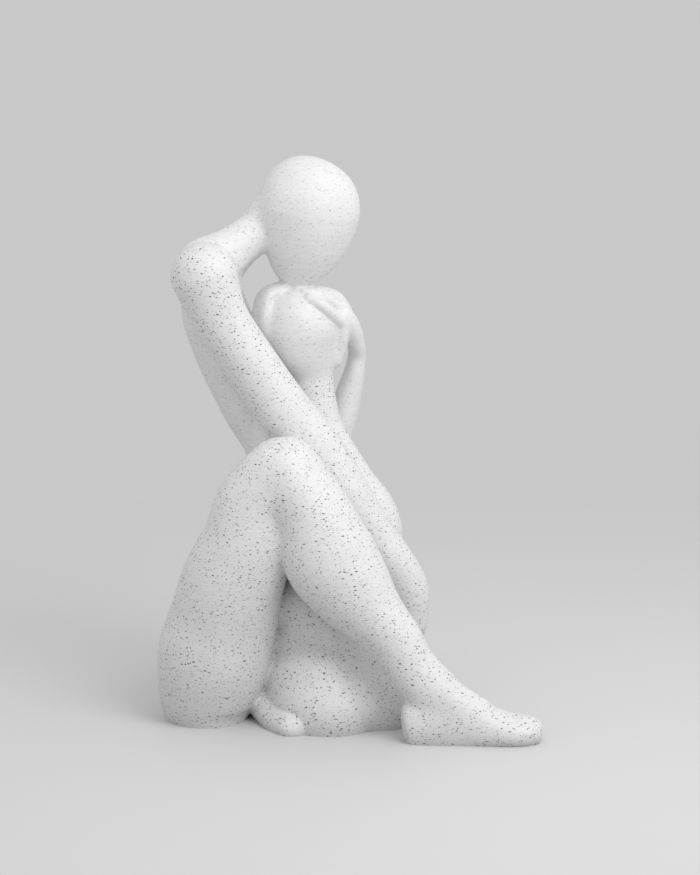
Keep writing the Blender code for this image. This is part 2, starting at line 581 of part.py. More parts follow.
def build():
    clear_scene()
    forms = {
        "person_head": (draw_head, 800, {}),
        "right_leg": (draw_right_leg, 1700, {}),
        "left_leg": (draw_left_leg, 800, {}),
        "right_arm": (draw_right_arm, 1400, {"soften": 4, "voxel": 0.0006}),
        "left_arm": (draw_left_arm, 1500, {"soften": 3, "voxel": 0.0005}),
        "person_torso": (draw_torso, 900, {}),
        "dog_head": (draw_dog_head, 600, {}),
        "dog_left_ear": (lambda bm: draw_ear(bm, LEFT_EAR), 260, {"soften": 3, "voxel": 0.0005}),
        "dog_right_ear": (lambda bm: draw_ear(bm, RIGHT_EAR), 260, {"soften": 3, "voxel": 0.0005}),
        "dog_left_hind_leg": (lambda bm: draw_hind_leg(bm, -1), 500, {}),
        "dog_right_hind_leg": (lambda bm: draw_hind_leg(bm, 1), 450, {}),
        "dog_body": (draw_dog_body, 800, {}),
        "dog_left_foreleg": (lambda bm: draw_foreleg(bm, -1), 260, {"soften": 3}),
        "dog_right_foreleg": (lambda bm: draw_foreleg(bm, 1), 260, {"soften": 3}),
        "dog_tail": (draw_tail, 160, {"soften": 2, "voxel": 0.0005}),
    }
    lies_against = {
        "person_head": (),
        "right_leg": (),
        "left_leg": ("right_leg",),
        "right_arm": ("right_leg",),
        "left_arm": ("person_head",),
        "person_torso": ("person_head", "right_leg", "left_leg", "right_arm", "left_arm"),
        "dog_head": ("person_head", "right_arm", "left_arm", "person_torso"),
        "dog_left_ear": ("dog_head", "right_arm", "left_arm", "person_torso"),
        "dog_right_ear": ("dog_head", "person_head", "right_arm", "left_arm"),
        "dog_left_hind_leg": ("right_leg", "left_leg", "right_arm", "person_torso"),
        "dog_right_hind_leg": ("right_leg", "left_leg", "right_arm", "dog_left_hind_leg"),
        "dog_body": ("right_leg", "left_leg", "right_arm", "left_arm", "person_torso", "dog_head", "dog_left_ear",
                     "dog_right_ear", "dog_left_hind_leg", "dog_right_hind_leg"),
        "dog_left_foreleg": ("left_leg", "person_torso", "dog_left_hind_leg", "dog_right_hind_leg", "dog_body"),
        "dog_right_foreleg": ("left_leg", "dog_left_hind_leg", "dog_right_hind_leg", "dog_body", "dog_left_foreleg"),
        "dog_tail": ("right_leg", "dog_left_hind_leg", "dog_right_hind_leg", "dog_body"),
    }
    pieces = {name: blended(name, draw, count, **mesh) for name, (draw, count, mesh) in forms.items()}
    skins = {name: piece.data.copy() for name, piece in pieces.items()}
    for name, piece in pieces.items():
        fit(piece, skins, *lies_against[name])
    for skin in skins.values():
        bpy.data.meshes.remove(skin)

    neck_seat = mix(SHOULDERS, mix(CHIN, CROWN, 0.60), 0.74)
    head, torso = pieces["person_head"], pieces["person_torso"]
    peg(torso, head, neck_seat, mix(CHIN, CROWN, 0.6) - SHOULDERS, 0.0020)
    peg(pieces["right_arm"], torso, mix(NEAR_SHOULDER, SHOULDERS, 0.55), (0, 1, 0), 0.0022)
    peg(pieces["left_arm"], torso, mix(FAR_SHOULDER, SHOULDERS, 0.50), (0, -1, 0.3), 0.0022)
    peg(pieces["right_leg"], torso, mix(NEAR_HIP, SEAT, 0.60) + UP * 0.014, (0, 1, 0), 0.0025)
    peg(pieces["left_leg"], torso, mix(FAR_HIP, SEAT + UP * 0.011, 0.30), (0, -1, 0), 0.0025)
    peg(pieces["dog_body"], pieces["dog_head"], DOG_NAPE + UP * 0.001, (-0.1, 0, 1), 0.0018)

    for piece in pieces.values():
        finish(piece)
    centre(pieces.values())


build()
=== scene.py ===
"""Person and dog sculpture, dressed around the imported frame.

Units are metres, and the forms stand in the part's own frame. Each form is a loft through a few rings, as in
the part, and the small offsets and factors of the rings fit it to the photo's outline. All the forms are
blended into one fine skin, softened where they flow into each other, and divided into the sculpture's own
pieces again. The black-flecked white is mixed from procedural noise.
"""
import json
import math

import bmesh
import bpy
from mathutils import Matrix, Vector
from mathutils.bvhtree import BVHTree

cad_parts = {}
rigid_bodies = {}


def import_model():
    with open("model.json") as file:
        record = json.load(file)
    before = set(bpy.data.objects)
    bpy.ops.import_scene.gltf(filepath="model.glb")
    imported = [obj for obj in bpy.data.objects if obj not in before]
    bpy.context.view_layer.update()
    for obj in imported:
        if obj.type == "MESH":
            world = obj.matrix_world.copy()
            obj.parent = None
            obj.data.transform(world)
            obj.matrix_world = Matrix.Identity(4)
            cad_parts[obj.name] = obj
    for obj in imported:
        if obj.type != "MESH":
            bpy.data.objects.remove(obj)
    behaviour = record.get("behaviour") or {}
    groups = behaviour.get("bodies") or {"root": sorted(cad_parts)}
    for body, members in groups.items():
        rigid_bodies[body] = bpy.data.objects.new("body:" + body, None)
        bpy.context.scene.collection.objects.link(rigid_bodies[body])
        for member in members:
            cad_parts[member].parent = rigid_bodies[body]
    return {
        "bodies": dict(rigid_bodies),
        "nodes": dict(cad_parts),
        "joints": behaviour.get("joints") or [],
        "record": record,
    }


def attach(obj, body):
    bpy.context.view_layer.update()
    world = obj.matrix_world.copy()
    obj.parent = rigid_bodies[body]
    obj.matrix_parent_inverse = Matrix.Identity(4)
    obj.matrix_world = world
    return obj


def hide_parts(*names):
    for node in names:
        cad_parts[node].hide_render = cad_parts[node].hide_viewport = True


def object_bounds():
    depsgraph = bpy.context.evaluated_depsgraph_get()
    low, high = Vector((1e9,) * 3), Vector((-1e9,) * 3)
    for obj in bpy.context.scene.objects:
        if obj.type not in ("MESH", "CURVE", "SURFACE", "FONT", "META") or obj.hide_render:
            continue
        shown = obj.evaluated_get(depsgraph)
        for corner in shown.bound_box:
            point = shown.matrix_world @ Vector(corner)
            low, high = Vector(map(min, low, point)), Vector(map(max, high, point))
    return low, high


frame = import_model()
CAD_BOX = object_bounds()

# Person: head and torso
HEAD_LENGTH = 0.0354
HEAD_WIDTH = 0.0276
HEAD_DEPTH = 0.0256
CHIN_HEIGHT = 0.1145
NECK_RADIUS = 0.0060
SHOULDER_WIDTH = 0.0290
SHOULDER_HEIGHT = 0.1195
CHEST_RADIUS = 0.0092
CHEST_DEPTH = 0.0135
WAIST_HEIGHT = 0.0690
WAIST_RADIUS = 0.0075
WAIST_DEPTH = 0.0108
PELVIS_RADIUS = 0.0135
PELVIS_DEPTH = 0.0150

# Person: arms
SHOULDER_RADIUS = 0.0088
UPPER_ARM_RADIUS = 0.0076
ELBOW_RADIUS = 0.0071
FOREARM_RADIUS = 0.0066
WRIST_RADIUS = 0.0053
FAR_FOREARM_RADIUS = 0.0046
FAR_WRIST_RADIUS = 0.0027
FINGER_RADIUS = 0.0014
FAR_FINGER_WIDTHS = (0.00130, 0.00115, 0.00120, 0.00145)

# Person: legs
BUTTOCK_RADIUS = 0.0150
THIGH_RADIUS = 0.0132
KNEE_RADIUS = 0.0099
CALF_RADIUS = 0.0116
SHIN_RADIUS = 0.0086
ANKLE_RADIUS = 0.0067
FOOT_LENGTH = 0.0362
FOOT_WIDTH = 0.0136
FOOT_HEIGHT = 0.0128
FAR_THIGH_RADIUS = 0.0115
FAR_SHIN_RADIUS = 0.0070

# Dog
DOG_HEADING = math.radians(25)
SKULL_RADIUS = 0.0112
SKULL_HEIGHT = 0.0230
MUZZLE_LENGTH = 0.0145
MUZZLE_RADIUS = 0.0046
EAR_THICKNESS = 0.0030
DOG_NECK_RADIUS = 0.0070
DOG_CHEST_RADIUS = 0.0125
DOG_RUMP_RADIUS = 0.0140
HAUNCH_WIDTH = 0.0285
HAUNCH_LENGTH = 0.0340
HAUNCH_HEIGHT = 0.0235
HIND_PAW_RADIUS = 0.0036
FORELEG_RADIUS = 0.0038
TAIL_RADIUS = 0.0026

# Mesh: the lofts, the cell of the skin, its rounds of softening, and the skirt inside each seam
SIDES = 40
SUBSTEPS = 6
HEAD_STEPS = 24
DOME_DEGREES = (15, 30, 45, 58, 70, 79, 86)
FINE = 0.00040
SOFT_ROUNDS = 3
FLOWING_ROUNDS = 180
BORDER_ROUNDS = 3
SKIRT = 0.0007
SHARP_ANGLE = math.radians(50)

# Paint
MILLIMETRE = 1000
STONE_WHITE = (0.81, 0.815, 0.81, 1.0)
STONE_GREY = (0.62, 0.625, 0.625, 1.0)
FLECK_GREY = (0.028, 0.030, 0.033, 1.0)
FLECK_TURN = (0.43, 0.71, 0.58)
FLECK_FLATNESS = 1.9
FLECK_WOBBLE = (1.1, 1.1, 1.1)
FLECK_EDGE = (-0.02, 0.09)
PALEST_FLECK = 0.35

# How dark the flecks are. They are pale on the parts that lie further back.
FLECK_STRENGTH = 1.0
FLECK_STRENGTHS = {
    "person_head": 0.40,
    "person_torso": 0.45,
    "left_arm": 0.35,
    "dog_head": 0.38,
    "dog_left_ear": 0.38,
    "dog_right_ear": 0.38,
}

# Camera, in the landmarks' frame
CAMERA_DISTANCE = 0.700
CAMERA_ELEVATION = math.radians(10)
CAMERA_AIM_HEIGHT = 0.074
FOCAL_PIXELS = 2592
PHOTO_HEIGHT_PIXELS = 875
SENSOR = 36

# Lamps: degrees from the front towards the right, degrees above level, and watts
LAMPS = {
    "key": (35, 35, 0.86),
    "top": (35, 62, 0.12),
    "side": (70, 20, 0.12),
}
LAMP_DISTANCE = 0.45
LAMP_AIM_HEIGHT = 0.115
LAMP_SIZE = 0.30
SOFT_LIGHT = 0.74

# Stage. The floor is whole at its middle, starts to fade at FADE_START and is gone at FADE_END.
BACKDROP_COLOUR = (0.58, 0.58, 0.58, 1.0)
FLOOR_COLOUR = (0.69, 0.69, 0.69, 1.0)
FLOOR_BOUNCE = (0.35, 0.35, 0.35, 1.0)
FLOOR_RADIUS = 1.0
FADE_START = 0.06
FADE_END = 0.42

# Landmarks of the person. Each place is shared by the pieces that meet there.
CHIN = Vector((-0.0135, 0.0010, CHIN_HEIGHT))
CROWN = CHIN + Vector((0.0024, 0, HEAD_LENGTH))
SHOULDERS = Vector((-0.0370, 0.0005, SHOULDER_HEIGHT))
NEAR_SHOULDER = SHOULDERS + Vector((-0.0009, -SHOULDER_WIDTH / 2, 0.0007))
FAR_SHOULDER = SHOULDERS + Vector((-0.0015, SHOULDER_WIDTH / 2, -0.0045))
WAIST = Vector((-0.0205, 0.0010, WAIST_HEIGHT))
SEAT = Vector((-0.0360, 0.0005, 0))
NEAR_ELBOW = Vector((-0.0085, -0.0110, 0.0720))
NEAR_WRIST = Vector((0.0106, -0.0100, 0.0418))
FAR_ELBOW = Vector((-0.0070, 0.0160, 0.0655))
FAR_WRIST = Vector((0.0020, 0.0115, 0.0960))
FAR_HAND_BACK = FAR_WRIST + Vector((-0.0010, -0.0045, 0.0048))
FAR_PALM = FAR_WRIST + Vector((-0.0025, -0.0083, 0.0086))
FAR_HAND_END = FAR_WRIST + Vector((-0.0048, -0.0108, 0.0120))
NEAR_PALM = NEAR_WRIST + Vector((0.0040, 0.0010, -0.0080))
NEAR_HAND_END = NEAR_WRIST + Vector((0.0058, 0.0022, -0.0160))
NEAR_KNUCKLES = NEAR_WRIST + Vector((0.0062, 0.0040, -0.0064))
NEAR_HIP = SEAT + Vector((-0.0032, -0.0145, 0))
NEAR_KNEE = Vector((-0.0170, -0.0240, 0.0685))
NEAR_ANKLE = Vector((0.0200, -0.0355, 0.0130))
FAR_HIP = SEAT + Vector((0.0010, 0.0130, 0.0110))
FAR_KNEE = Vector((-0.0020, 0.0385, 0.0088))
FAR_ANKLE = Vector((-0.0275, -0.0005, 0.0055))
FAR_TOE = Vector((-0.0150, -0.0285, 0.0016))

# Landmarks of the dog. AHEAD is where its body points, and RIGHT is its own right side.
AHEAD = Vector((-math.sin(DOG_HEADING), math.cos(DOG_HEADING), 0))
RIGHT = Vector((AHEAD.y, -AHEAD.x, 0))
UP = Vector((0, 0, 1))
RUMP = Vector((-0.0020, -0.0120, 0))
SKULL = Vector((CHIN.x - 0.0002, 0.0012, CHIN_HEIGHT + 0.0012 - SKULL_HEIGHT / 2))
DOG_NAPE = Vector((SKULL.x + 0.0030, 0.0026, SKULL.z - SKULL_HEIGHT / 2 + 0.0035))
DOG_THROAT = Vector((-0.0090, 0.0034, 0.0745))
WITHERS = Vector((-0.0024, 0.0012, 0.0600))
CHEST = Vector((0.0007, -0.0010, 0.0490))

# Joints of the far hand's fingers and of the ears, from the middle of the skull in skull radii
FAR_FINGERS = (
    ((1.16, 0.25, 0.32), (0.93, 0.25, 0.67), (0.63, 0.19, 0.81), (0.40, 0.12, 0.91)),
    ((1.17, 0.10, 0.32), (0.92, -0.02, 0.66), (0.53, -0.28, 0.84), (0.26, -0.36, 0.92)),
    ((1.13, 0.03, 0.16), (0.85, -0.29, 0.55), (0.51, -0.50, 0.80), (0.15, -0.52, 0.93)),
    ((1.13, -0.04, -0.06), (0.85, -0.51, 0.30), (0.58, -0.68, 0.57), (0.26, -0.67, 0.78)),
)
LEFT_EAR = ((-0.40, -0.04, 0.91), (-0.81, -0.18, 0.71), (-0.92, -0.28, 0.02), (-0.74, -0.36, -0.52))
RIGHT_EAR = ((0.40, 0.02, 0.72), (0.84, 0.10, 0.38), (1.02, 0.14, -0.26), (0.89, 0.06, -0.90))

# Places where the person's forms or the dog's flow together without a crease, and how far each one reaches
HAUNCH_TOP = RUMP + UP * HAUNCH_HEIGHT
FLOWING = (
    ("person", NEAR_SHOULDER + Vector((0.0060, 0.0050, 0.0045)), 0.0150),
    ("person", NEAR_SHOULDER + Vector((0.0050, -0.0010, 0.0050)), 0.0110),
    ("person", NEAR_SHOULDER + Vector((0.0010, -0.0010, 0.0085)), 0.0115),
    ("person", NEAR_SHOULDER + Vector((0.0075, -0.0045, 0.0010)), 0.0095),
    ("person", NEAR_SHOULDER + Vector((-0.0065, 0.0065, -0.0030)), 0.0085),
    ("person", FAR_SHOULDER + Vector((0.0060, -0.0050, 0.0030)), 0.0150),
    ("person", FAR_SHOULDER + Vector((-0.0070, -0.0060, -0.0040)), 0.0150),
    ("person", FAR_SHOULDER + Vector((-0.0030, -0.0060, 0.0080)), 0.0120),
    ("person", SHOULDERS + Vector((-0.0070, 0, 0.0010)), 0.0170),
    ("person", CHIN + Vector((-0.0150, 0, 0.0240)), 0.0090),
    ("person", CHIN + Vector((-0.0110, -0.0060, 0.0230)), 0.0085),
    ("person", CHIN + Vector((-0.0110, 0.0060, 0.0230)), 0.0085),
    ("person", NEAR_HAND_END + Vector((0.0040, 0.0030, 0.0040)), 0.0110),
    ("person", NEAR_ANKLE + Vector((0.0030, -0.0040, -0.0030)), 0.0120),
    ("person", FAR_TOE + Vector((0.0010, -0.0010, 0.0035)), 0.0095),
    ("person", Vector((-0.0200, -0.0340, 0.0640)), 0.0090),
    ("person", Vector((-0.0215, -0.0330, 0.0530)), 0.0110),
    ("dog", SKULL + Vector((0.0070, -0.0070, -0.0080)), 0.0100),
    ("dog", SKULL + Vector((0.0092, -0.0050, -0.0060)), 0.0085),
    ("dog", SKULL + Vector((-0.0060, -0.0090, 0.0010)), 0.0085),
    ("dog", SKULL + Vector((-0.0080, -0.0080, -0.0050)), 0.0090),
    ("dog", DOG_NAPE - UP * 0.0030, 0.0130),
    ("dog", HAUNCH_TOP - AHEAD * 0.0120, 0.0200),
    ("dog", HAUNCH_TOP - RIGHT * HAUNCH_WIDTH * 0.3, 0.0200),
    ("dog", HAUNCH_TOP + RIGHT * HAUNCH_WIDTH * 0.3, 0.0180),
    ("dog", RUMP - AHEAD * 0.0170 + UP * 0.0110, 0.0160),
    ("dog", CHEST + AHEAD * 0.0100, 0.0160),
    ("dog", CHEST + AHEAD * 0.0090 + RIGHT * 0.0070 + UP * 0.0060, 0.0110),
    ("dog", CHEST + AHEAD * 0.0090 - RIGHT * 0.0070 + UP * 0.0060, 0.0110),
)


def mix(a, b, share):
    return a.lerp(b, share)


def between(a, b):
    """A function that gives the place at a share of the way from a to b."""
    return lambda share: mix(a, b, share)


def ring(place, wide, deep=None):
    """One loft ring: its centre, its half width and its half depth."""
    return Vector(place), wide, wide if deep is None else deep


def spline(rings):
    """Rings along a smooth curve through the given ones."""
    result = []
    for i in range(len(rings) - 1):
        before = rings[max(i - 1, 0)]
        after = rings[min(i + 2, len(rings) - 1)]
        for step in range(SUBSTEPS):
            t = step / SUBSTEPS
            weights = (
                (-t + 2 * t ** 2 - t ** 3) / 2,
                (2 - 5 * t ** 2 + 3 * t ** 3) / 2,
                (t + 4 * t ** 2 - 3 * t ** 3) / 2,
                (-t ** 2 + t ** 3) / 2,
            )
            four = (before, rings[i], rings[i + 1], after)
            place = sum((r[0] * w for r, w in zip(four, weights)), Vector())
            wide = sum(r[1] * w for r, w in zip(four, weights))
            deep = sum(r[2] * w for r, w in zip(four, weights))
            result.append((place, wide, deep))
    result.append(rings[-1])
    return result


def add_loft(bm, rings, side=(0, 1, 0), start=1.0, end=1.0):
    """A closed loft with domed ends. The half depth of each ring lies towards side."""
    side = Vector(side)
    path = spline(rings)
    frames = []
    for i, (place, wide, deep) in enumerate(path):
        along = path[min(i + 1, len(path) - 1)][0] - path[max(i - 1, 0)][0]
        frames.append((place, along.normalized(), wide, deep))
    domed = [*dome(frames[0], -start), *frames, *dome(frames[-1], end)]
    loops = []
    for number, (place, along, wide, deep) in enumerate(domed):
        deep_axis = (side - along * side.dot(along)).normalized()
        wide_axis = deep_axis.cross(along)
        matrix = Matrix((wide_axis * wide, deep_axis * deep, along * wide)).transposed().to_4x4()
        matrix.translation = place
        last = number in (0, len(domed) - 1)
        verts = bmesh.ops.create_circle(bm, cap_ends=last, segments=SIDES, radius=1, matrix=matrix)["verts"]
        loops.append(list({edge for vert in verts for edge in vert.link_edges}))
    for one, other in zip(loops, loops[1:]):
        bmesh.ops.bridge_loops(bm, edges=one + other)


def dome(frame, roundness):
    """Rings that close the end of a loft. A negative roundness makes the dome at its start."""
    place, along, wide, deep = frame
    reach = min(wide, deep) * roundness
    caps = []
    for degrees in DOME_DEGREES:
        angle = math.radians(degrees)
        shrink = math.cos(angle)
        caps.append((place + along * reach * math.sin(angle), along, wide * shrink, deep * shrink))
    return caps if roundness > 0 else caps[::-1]


def add_ball(bm, place, across, ahead, up):
    """An ellipsoid turned to the dog's heading."""
    turn = Matrix((RIGHT * across, AHEAD * ahead, UP * up)).transposed().to_4x4()
    turn.translation = place
    bmesh.ops.create_uvsphere(bm, u_segments=SIDES, v_segments=SIDES // 2 + 2, radius=1, matrix=turn)


def draw_head(bm):
    """An egg, blunter above its middle height than below. Heights are shares of its length."""
    middle, top = 0.58, 0.996
    taper = 1.34
    chin = CHIN + Vector((-0.0009, 0, 0))
    bow = Vector((0.0013, 0, 0))
    rings = []
    for step in range(1, HEAD_STEPS):
        height = top * (1 - math.cos(math.pi * step / HEAD_STEPS)) / 2
        if height < middle:
            width = math.sqrt(1 - ((middle - height) / middle) ** taper)
        else:
            width = math.sqrt(1 - ((height - middle) / (top - middle)) ** 2)
        place = mix(chin, CROWN, height) + bow * math.sin(math.pi * height) ** 2
        rings.append(ring(place, width * HEAD_WIDTH * 0.507, width * HEAD_DEPTH / 2))
    add_loft(bm, rings, start=0.05, end=0.05)


def draw_torso(bm):
    """The neck, the slopes to both shoulders, swells at the waist and throat, and the trunk to the seat."""
    neck_end = mix(CHIN, CROWN, 0.62) + Vector((-0.0058, 0, 0))
    neck = between(SHOULDERS, neck_end)
    back = between(SHOULDERS, WAIST)
    hips = between(WAIST, SEAT)
    add_loft(bm, [
        ring(neck_end, NECK_RADIUS * 1.25, NECK_RADIUS * 1.15),
        ring(neck(0.66) + Vector((0.0002, 0, -0.0006)), NECK_RADIUS * 1.03, NECK_RADIUS),
        ring(neck(0.33) + Vector((0, 0, 0.0003)), NECK_RADIUS * 0.92, NECK_RADIUS * 1.35),
        ring(SHOULDERS + Vector((0.0002, 0, 0)), CHEST_RADIUS * 0.90, CHEST_DEPTH),
    ])
    add_loft(bm, [
        ring(neck(0.55) + Vector((0, -0.0020, 0.0001)), NECK_RADIUS * 0.88),
        ring(neck(0.28) + Vector((0, -0.0042, 0.0009)), NECK_RADIUS * 1.04),
        ring(SHOULDERS + Vector((-0.0004, -0.0072, 0.0017)), SHOULDER_RADIUS * 0.92),
        ring(NEAR_SHOULDER + Vector((-0.0010, 0.0036, -0.0010)), SHOULDER_RADIUS * 0.93),
    ])
    add_loft(bm, [
        ring(neck(0.50) + Vector((0, 0.0020, -0.0002)), NECK_RADIUS * 0.88),
        ring(neck(0.25) + Vector((0, 0.0042, -0.0014)), NECK_RADIUS * 0.98),
        ring(FAR_SHOULDER + Vector((0, -0.0070, 0.0020)), SHOULDER_RADIUS * 0.88),
        ring(FAR_SHOULDER + Vector((0, -0.0028, 0.0002)), SHOULDER_RADIUS * 0.86),
    ])
    add_ball(bm, WAIST + Vector((-0.0026, -0.0066, 0.0070)), 0.0037, 0.0074, 0.0100)
    add_ball(bm, Vector((-0.0275, 0.0006, 0.1261)), 0.0050, 0.0046, 0.0046)
    add_loft(bm, [
        ring(back(0.02), CHEST_RADIUS * 0.85, CHEST_DEPTH),
        ring(back(0.22) + Vector((-0.0033, 0.0012, 0)), CHEST_RADIUS * 0.94, CHEST_DEPTH * 0.90),
        ring(back(0.45) + Vector((-0.0030, 0.0015, 0)), CHEST_RADIUS * 0.97, CHEST_DEPTH * 0.84),
        ring(back(0.72) + Vector((-0.0016, 0.0012, 0)), CHEST_RADIUS * 0.90, CHEST_DEPTH * 0.80),
        ring(WAIST, WAIST_RADIUS, WAIST_DEPTH),
        ring(hips(0.25) + Vector((0.0020, 0, 0)), PELVIS_RADIUS * 0.74, PELVIS_DEPTH * 0.80),
        ring(hips(0.50) + Vector((0.0016, 0, 0)), PELVIS_RADIUS * 0.92, PELVIS_DEPTH * 0.92),
        ring(hips(0.80), PELVIS_RADIUS, PELVIS_DEPTH),
        ring(SEAT, PELVIS_RADIUS * 0.92, PELVIS_DEPTH * 0.95),
    ], end=0.4)


def draw_right_arm(bm):
    """The near arm, with its hand round the dog's front."""
    upper_arm = between(NEAR_SHOULDER, NEAR_ELBOW)
    forearm = between(NEAR_ELBOW, NEAR_WRIST)
    add_loft(bm, [
        ring(NEAR_SHOULDER + Vector((-0.0002, 0, -0.0009)), SHOULDER_RADIUS * 1.01),
        ring(upper_arm(0.24) + Vector((-0.0032, 0, -0.0003)), UPPER_ARM_RADIUS * 0.97),
        ring(upper_arm(0.50) + Vector((-0.0029, 0, -0.0002)), UPPER_ARM_RADIUS * 0.94),
        ring(upper_arm(0.74) + Vector((-0.0020, 0, -0.0004)), UPPER_ARM_RADIUS * 0.96),
        ring(NEAR_ELBOW, ELBOW_RADIUS),
        ring(forearm(0.46), FOREARM_RADIUS),
        ring(forearm(0.78), FOREARM_RADIUS * 0.92),
        ring(NEAR_WRIST + Vector((0.0008, 0, 0)), WRIST_RADIUS * 1.10),
        ring(NEAR_PALM + Vector((0.0008, 0, 0)), WRIST_RADIUS * 1.12, WRIST_RADIUS * 1.05),
        ring(NEAR_HAND_END + Vector((-0.0002, 0, -0.0004)), WRIST_RADIUS * 0.96),
    ])
    for finger in range(4):
        root = NEAR_KNUCKLES + Vector((0.0006 * finger * (3.7 - finger), 0, -0.0043 * finger))
        bend = root + Vector((0.0002, 0.0060, -0.0010))
        tip = bend + Vector((-0.0034, 0.0054, -0.0016))
        add_loft(bm, [
            ring(mix(NEAR_PALM, root, 0.5), FINGER_RADIUS * 1.9),
            ring(root, FINGER_RADIUS * 1.75),
            ring(bend, FINGER_RADIUS * 1.6),
            ring(tip, FINGER_RADIUS * 1.3),
        ], side=(0, 0, 1))


def draw_left_arm(bm):
    """The far arm, with its fingers over the dog's head."""
    upper_arm = between(FAR_SHOULDER, FAR_ELBOW)
    forearm = between(FAR_ELBOW, FAR_WRIST)
    across = Vector((0.0010, 0, 0))
    add_loft(bm, [
        ring(FAR_SHOULDER, SHOULDER_RADIUS * 0.88),
        ring(upper_arm(0.40) + Vector((-0.0030, 0.0010, -0.0010)), UPPER_ARM_RADIUS * 0.90),
        ring(upper_arm(0.75), UPPER_ARM_RADIUS * 0.88),
        ring(FAR_ELBOW, ELBOW_RADIUS * 0.92),
    ])
    add_loft(bm, [
        ring(FAR_ELBOW, ELBOW_RADIUS * 0.80),
        ring(forearm(0.33) + across * 1.25, FAR_FOREARM_RADIUS * 0.94, FAR_FOREARM_RADIUS * 1.15),
        ring(forearm(0.62) + across * 1.2, FAR_FOREARM_RADIUS * 0.78, FAR_FOREARM_RADIUS),
        ring(forearm(0.82) + across * 0.9, FAR_WRIST_RADIUS * 1.05, FAR_WRIST_RADIUS * 1.5),
        ring(FAR_WRIST - across * 0.1, FAR_WRIST_RADIUS * 0.90, FAR_WRIST_RADIUS * 1.5),
        ring(FAR_HAND_BACK, FAR_WRIST_RADIUS * 0.95, FAR_WRIST_RADIUS * 1.45),
        ring(FAR_PALM, FAR_WRIST_RADIUS * 1.06, FAR_WRIST_RADIUS * 1.4),
        ring(FAR_HAND_END, FAR_WRIST_RADIUS * 1.04, FAR_WRIST_RADIUS * 1.3),
    ], end=0.6)
    for places, wide in zip(FAR_FINGERS, FAR_FINGER_WIDTHS):
        joints = [SKULL + Vector(place) * SKULL_RADIUS for place in places]
        add_loft(bm, [
            ring(mix(FAR_PALM, joints[0], 0.4), wide),
            ring(joints[0], wide * 1.1),
            ring(joints[1], wide * 1.05),
            ring(joints[2], wide),
            ring(mix(SKULL, joints[3], 0.95), wide * 0.85),
        ])


def draw_right_leg(bm):
    """The near leg: the thigh up to the raised knee, the shin, the foot, and the instep between them."""
    thigh = between(NEAR_HIP, NEAR_KNEE)
    shin = between(NEAR_KNEE, NEAR_ANKLE)
    back = Vector((-0.0028, 0.0005, 0))
    near = Vector((0, 0.0014, 0))
    add_loft(bm, [
        ring(NEAR_HIP + Vector((0.0014, 0, -0.0020)), BUTTOCK_RADIUS * 0.66, BUTTOCK_RADIUS * 0.74),
        ring(NEAR_HIP + Vector((0.0010, 0, 0.0055)), BUTTOCK_RADIUS * 0.88, BUTTOCK_RADIUS * 0.88),
        ring(thigh(0.25) + back * 0.95, BUTTOCK_RADIUS * 1.02, BUTTOCK_RADIUS * 0.94),
        ring(thigh(0.40) + back * 1.25, BUTTOCK_RADIUS * 0.97, BUTTOCK_RADIUS * 0.90),
        ring(thigh(0.56) + back * 1.56 - near * 0.6, THIGH_RADIUS * 1.035, THIGH_RADIUS * 0.98),
        ring(thigh(0.72) + back * 1.38 - near * 0.9, THIGH_RADIUS * 0.94, THIGH_RADIUS * 0.88),
        ring(thigh(0.88) + back * 1.86 - near * 0.5, KNEE_RADIUS * 1.04, KNEE_RADIUS * 1.05),
        ring(NEAR_KNEE + back * 0.3, KNEE_RADIUS * 0.99),
    ], start=0.3)
    add_loft(bm, [
        ring(NEAR_KNEE, KNEE_RADIUS),
        ring(shin(0.19) + Vector((0.0005, 0, 0)), CALF_RADIUS * 0.88, CALF_RADIUS * 0.88),
        ring(shin(0.38) + Vector((-0.0024, 0, 0)), CALF_RADIUS * 1.07, CALF_RADIUS * 0.92),
        ring(shin(0.54) + Vector((-0.0021, 0, 0)), CALF_RADIUS * 0.94, CALF_RADIUS * 0.84),
        ring(shin(0.66) + Vector((-0.0009, 0, 0)), SHIN_RADIUS * 0.98, SHIN_RADIUS * 0.95),
        ring(shin(0.77) + Vector((0.0003, 0, 0.0001)), SHIN_RADIUS * 0.84, SHIN_RADIUS * 0.84),
        ring(shin(0.90), ANKLE_RADIUS, ANKLE_RADIUS * 0.95),
        ring(NEAR_ANKLE + Vector((0.0012, 0, 0)), ANKLE_RADIUS * 1.10, ANKLE_RADIUS * 0.90),
    ])
    heel = Vector((NEAR_ANKLE.x - 0.0052, NEAR_ANKLE.y - 0.0009, 0))
    shares_of_foot = (
        (0.03, 0.84, 0.70),
        (0.16, 1.02, 0.80),
        (0.33, 1.16, 0.86),
        (0.46, 0.99, 0.90),
        (0.60, 0.73, 0.94),
        (0.75, 0.57, 1.0),
        (0.87, 0.52, 0.88),
        (0.925, 0.44, 0.66),
    )
    foot = []
    for length, height, width in shares_of_foot:
        top = height * FOOT_HEIGHT
        place = heel + Vector((length * FOOT_LENGTH, 0, top * 0.36))
        foot.append(ring(place, top * 0.64, width * FOOT_WIDTH / 2))
    add_loft(bm, foot, start=0.5, end=0.55)
    add_loft(bm, [
        ring(shin(0.84), ANKLE_RADIUS * 0.95, ANKLE_RADIUS * 0.90),
        ring(NEAR_ANKLE + Vector((0.0026, 0, -0.0004)), ANKLE_RADIUS * 0.94, ANKLE_RADIUS * 0.92),
        ring(foot[3][0] + Vector((0, 0, 0.0010)), FOOT_HEIGHT * 0.49, FOOT_WIDTH * 0.42),
        ring(foot[4][0], FOOT_HEIGHT * 0.40, FOOT_WIDTH * 0.40),
    ])


